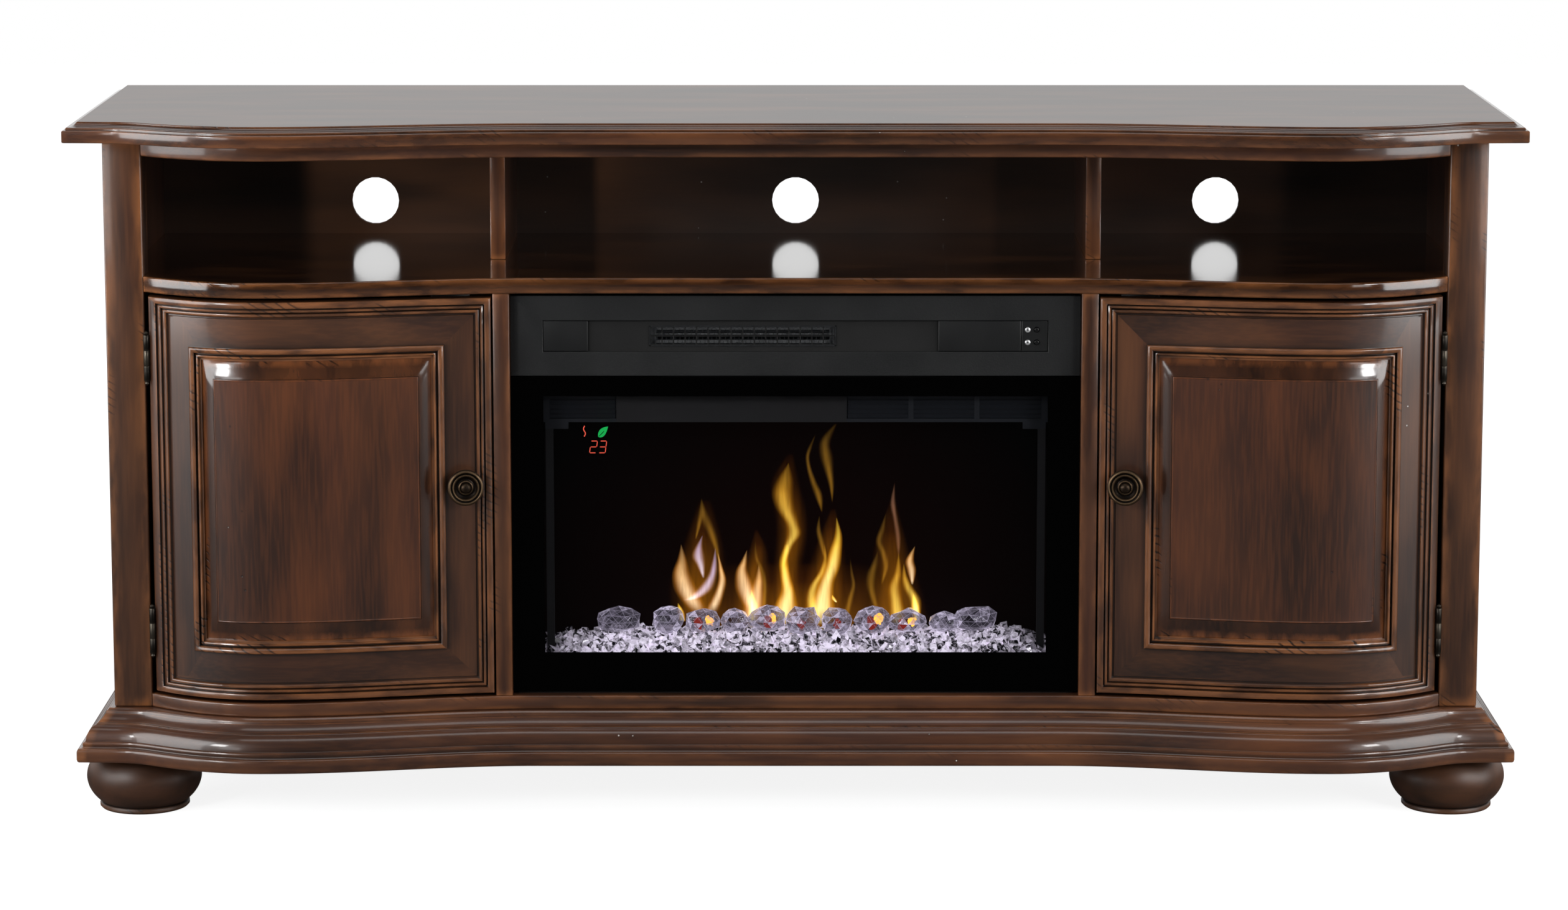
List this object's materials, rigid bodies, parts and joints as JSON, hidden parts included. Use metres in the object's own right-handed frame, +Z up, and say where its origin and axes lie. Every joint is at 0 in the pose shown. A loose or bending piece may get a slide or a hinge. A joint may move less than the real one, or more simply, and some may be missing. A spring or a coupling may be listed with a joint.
{
  "type": "fireplace tv stand",
  "caption": "Serpentine-front wooden media cabinet on bun feet with an open bay, two hinged raised-panel doors and an electric firebox between them.",
  "frame": {"origin": "on the floor under the middle of the cabinet", "axes": "+X to the cabinet's left-hand end seen from behind, right seen from the front; -Y out of the front; +Z up"},
  "size_m": [1.657, 0.489, 0.808],
  "materials": {
    "stained_wood": "dark stained and lacquered, rubbed edges",
    "panel_veneer": "dark cherry veneer, satin lacquer",
    "inside_wood": "dark stained inside",
    "aged_bronze": "antique bronze",
    "plated_steel": "zinc plated",
    "black_plastic": "moulded black",
    "black_coated_steel": "fine texture powder coat",
    "front_glass": "polished, black printed border",
    "crystal_media": "crushed clear acrylic",
    "flame_screen_sheet": "smoked acrylic, lit flame image"
  },
  "bodies": {
    "cabinet": {"top_panel": "stained_wood", "top_apron": "stained_wood", "media_shelf": "stained_wood", "bottom_rail": "stained_wood", "cabinet_floor": "inside_wood", "base_moulding_front": "stained_wood", "base_rear_rail": "stained_wood", "back_panel": "inside_wood", "post_left": "stained_wood", "side_panel_left": "stained_wood", "base_moulding_left": "stained_wood", "partition_left": "stained_wood", "bay_divider_left": "stained_wood", "cupboard_shelf_left": "inside_wood", "bun_foot_front_left": "stained_wood", "bun_foot_rear_left": "stained_wood", "magnetic_catch_left": "black_plastic", "hinge_post_leaf_left_lower": "aged_bronze", "hinge_post_leaf_left_upper": "aged_bronze", "post_right": "stained_wood", "side_panel_right": "stained_wood", "base_moulding_right": "stained_wood", "partition_right": "stained_wood", "bay_divider_right": "stained_wood", "cupboard_shelf_right": "inside_wood", "bun_foot_front_right": "stained_wood", "bun_foot_rear_right": "stained_wood", "magnetic_catch_right": "black_plastic", "hinge_post_leaf_right_lower": "aged_bronze", "hinge_post_leaf_right_upper": "aged_bronze", "firebox_housing": "black_coated_steel", "firebox_trim": "black_coated_steel", "firebox_glass": "front_glass", "vent_grille": "black_coated_steel", "vent_cover_left": "black_coated_steel", "vent_cover_right": "black_coated_steel", "control_plate": "black_coated_steel", "blower_motor": "plated_steel", "heating_element": "plated_steel", "louvre_panel": "black_coated_steel", "ember_bed": "crystal_media", "flame_screen": "flame_screen_sheet", "flicker_motor": "plated_steel", "led_bar": "black_plastic"},
    "door_left": {"door_frame_left": "stained_wood", "door_panel_left": "panel_veneer", "knob_left": "aged_bronze", "strike_plate_left": "plated_steel", "hinge_door_leaf_left_lower": "aged_bronze", "hinge_door_leaf_left_upper": "aged_bronze"},
    "door_right": {"door_frame_right": "stained_wood", "door_panel_right": "panel_veneer", "knob_right": "aged_bronze", "strike_plate_right": "plated_steel", "hinge_door_leaf_right_lower": "aged_bronze", "hinge_door_leaf_right_upper": "aged_bronze"},
    "button_lower": {"push_button_lower": "black_plastic"},
    "button_upper": {"push_button_upper": "black_plastic"},
    "blower": {"blower_wheel": "plated_steel"},
    "flicker": {"flicker_rotor": "plated_steel"}
  },
  "joints": [
    {"name": "door_right_hinge", "type": "hinge", "parent": "cabinet", "child": "door_right", "pos_m": [0.74225, -0.155, 0.375], "axis": [0, 0, 1], "range_deg": [0, 110]},
    {"name": "door_left_hinge", "type": "hinge", "parent": "cabinet", "child": "door_left", "pos_m": [-0.74225, -0.155, 0.375], "axis": [0, 0, -1], "range_deg": [0, 110]},
    {"name": "button_lower_press", "type": "slide", "parent": "cabinet", "child": "button_lower", "axis": [0, 1, 0], "range_m": [0, 0.001], "stiffness_N_per_m": 300},
    {"name": "button_upper_press", "type": "slide", "parent": "cabinet", "child": "button_upper", "axis": [0, 1, 0], "range_m": [0, 0.001], "stiffness_N_per_m": 300},
    {"name": "blower_spin", "type": "hinge", "parent": "cabinet", "child": "blower", "pos_m": [0, -0.0907, 0.5565], "axis": [1, 0, 0], "continuous": true},
    {"name": "flicker_spin", "type": "hinge", "parent": "cabinet", "child": "flicker", "pos_m": [0, -0.0057, 0.177], "axis": [1, 0, 0], "continuous": true}
  ]
}
